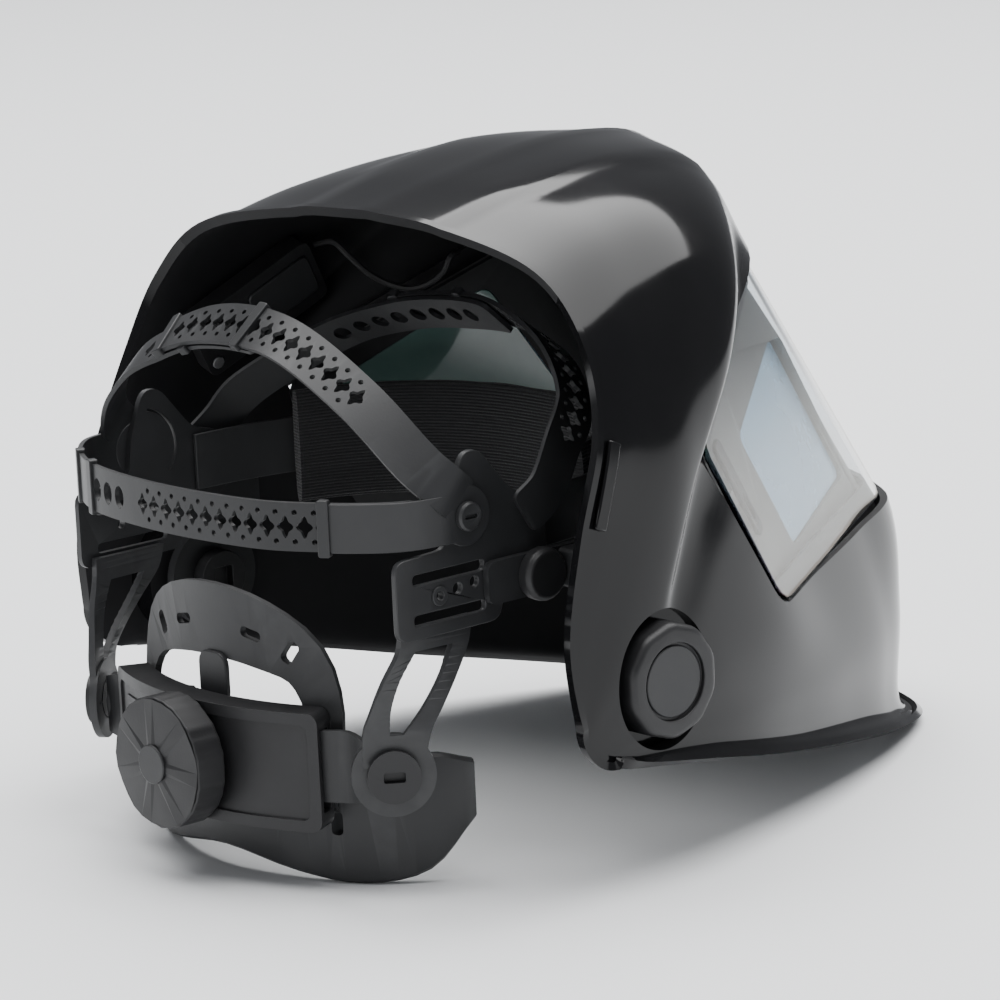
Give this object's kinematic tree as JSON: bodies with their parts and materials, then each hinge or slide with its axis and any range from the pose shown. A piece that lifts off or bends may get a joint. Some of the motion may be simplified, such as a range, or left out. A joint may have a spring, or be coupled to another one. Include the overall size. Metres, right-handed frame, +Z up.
{
  "type": "welding helmet",
  "caption": "Glossy black welding helmet with a three-pane panoramic visor, tension knobs and a ratchet headgear with crown straps, standing on its chin flange and nape pad.",
  "frame": {"origin": "middle of the footprint at the height of the floor the helmet stands on", "axes": "+Z up, the visor faces -Y, +X is the wearer's left; the tilt axis runs along X"},
  "size_m": [0.2988, 0.3728, 0.252],
  "materials": {
    "gloss_shell": "high gloss black",
    "clear_cover": "clear polycarbonate",
    "mask_frame": "satin grey",
    "blue_filter": "blue interference coating",
    "green_glass": "clear, faint green",
    "black_plastic": "fine matte",
    "grey_plastic": "satin dark grey",
    "knit": "ribbed knit",
    "steel": "plain",
    "wire_rubber": "matte"
  },
  "bodies": {
    "shell_body": {"shell": "gloss_shell", "cover_lens": "clear_cover", "mask_frame": "mask_frame", "inner_frame": "black_plastic", "left_filter": "blue_filter", "right_filter": "blue_filter", "front_filter": "blue_filter", "left_inner_glass": "green_glass", "right_inner_glass": "green_glass", "front_inner_glass": "green_glass", "control_box": "black_plastic", "battery_lid": "grey_plastic", "box_screw_a": "steel", "box_screw_b": "steel", "control_wire": "wire_rubber", "rim_tab_left": "gloss_shell", "rim_tab_right": "gloss_shell", "friction_washer_left": "black_plastic", "friction_washer_right": "black_plastic", "pivot_bolt_left": "black_plastic", "pivot_bolt_right": "black_plastic"},
    "tension_knob_left": {"tension_knob_left": "black_plastic"},
    "tension_knob_right": {"tension_knob_right": "black_plastic"},
    "shade_knob": {"shade_knob": "black_plastic"},
    "grind_button": {"grind_button": "grey_plastic"},
    "pivot_arms": {"pivot_arm_left": "grey_plastic", "pivot_arm_right": "grey_plastic"},
    "latch_left": {"latch_left": "black_plastic"},
    "latch_right": {"latch_right": "black_plastic"},
    "headband": {"side_plate_left": "grey_plastic", "side_plate_right": "grey_plastic", "front_band": "grey_plastic", "sweatband": "knit", "rear_strap_left": "grey_plastic", "rear_strap_right": "grey_plastic", "front_crown_left": "grey_plastic", "front_crown_right": "grey_plastic", "junction_left": "grey_plastic", "junction_right": "grey_plastic", "rear_arm_left": "grey_plastic", "rear_arm_right": "grey_plastic"},
    "rear_swivel": {"swivel_pin_left": "black_plastic", "swivel_pin_right": "black_plastic"},
    "ratchet_unit": {"ratchet_housing": "black_plastic", "cradle": "grey_plastic", "nape_pad": "grey_plastic"},
    "ratchet_knob": {"ratchet_knob": "black_plastic", "ratchet_cap": "grey_plastic"},
    "band_left": {"band_end_left": "grey_plastic"},
    "band_right": {"band_end_right": "grey_plastic"}
  },
  "joints": [
    {"name": "tension_knob_left_turn", "type": "hinge", "parent": "shell_body", "child": "tension_knob_left", "pos_m": [0.14, 0.05684, 0.075], "axis": [1, 0, 0], "range_deg": [-180, 180]},
    {"name": "tension_knob_right_turn", "type": "hinge", "parent": "shell_body", "child": "tension_knob_right", "pos_m": [-0.14, 0.05684, 0.075], "axis": [-1, 0, 0], "range_deg": [-180, 180]},
    {"name": "shade_knob_turn", "type": "hinge", "parent": "shell_body", "child": "shade_knob", "pos_m": [0.13015, 0.04201, 0.18084], "axis": [0.9553, -0.0975, 0.2789], "range_deg": [-140, 140]},
    {"name": "grind_button_press", "type": "slide", "parent": "shell_body", "child": "grind_button", "axis": [-0.9553, 0.0975, -0.2789], "range_m": [0, 0.0015], "stiffness_N_per_m": 800},
    {"name": "headgear_tilt", "type": "hinge", "parent": "shell_body", "child": "pivot_arms", "pos_m": [0, 0.05684, 0.075], "axis": [1, 0, 0], "range_deg": [-10, 45]},
    {"name": "latch_left_turn", "type": "hinge", "parent": "pivot_arms", "child": "latch_left", "pos_m": [0.102, 0.07884, 0.113], "axis": [1, 0, 0], "range_deg": [0, 90]},
    {"name": "latch_right_turn", "type": "hinge", "parent": "pivot_arms", "child": "latch_right", "pos_m": [-0.102, 0.07884, 0.113], "axis": [-1, 0, 0], "range_deg": [0, 90]},
    {"name": "headband_fore_aft", "type": "slide", "parent": "pivot_arms", "child": "headband", "axis": [0, 1, 0], "range_m": [-0.008, 0.008]},
    {"name": "rear_swivel_tilt", "type": "hinge", "parent": "headband", "child": "rear_swivel", "pos_m": [0, 0.14184, 0.048], "axis": [1, 0, 0], "range_deg": [-8, 8]},
    {"name": "ratchet_draw", "type": "slide", "parent": "rear_swivel", "child": "ratchet_unit", "axis": [0, -1, 0], "range_m": [0, 0.005]},
    {"name": "ratchet_knob_turn", "type": "hinge", "parent": "ratchet_unit", "child": "ratchet_knob", "pos_m": [0, 0.16954, 0.046], "axis": [0, -1, 0], "range_deg": [0, 92]},
    {"name": "band_left_swing", "type": "hinge", "parent": "rear_swivel", "child": "band_left", "pos_m": [0.0865, 0.14184, 0.048], "axis": [0, 0, 1], "range_deg": [0, 8.5]},
    {"name": "band_right_swing", "type": "hinge", "parent": "rear_swivel", "child": "band_right", "pos_m": [-0.0865, 0.14184, 0.048], "axis": [0, 0, -1], "range_deg": [0, 8.5]}
  ],
  "couplings": [
    {"joint": "ratchet_knob_turn", "follows": "ratchet_draw", "rad_per_m": 314},
    {"joint": "band_left_swing", "follows": "ratchet_draw", "rad_per_m": 27.8},
    {"joint": "band_right_swing", "follows": "ratchet_draw", "rad_per_m": 27.8}
  ]
}
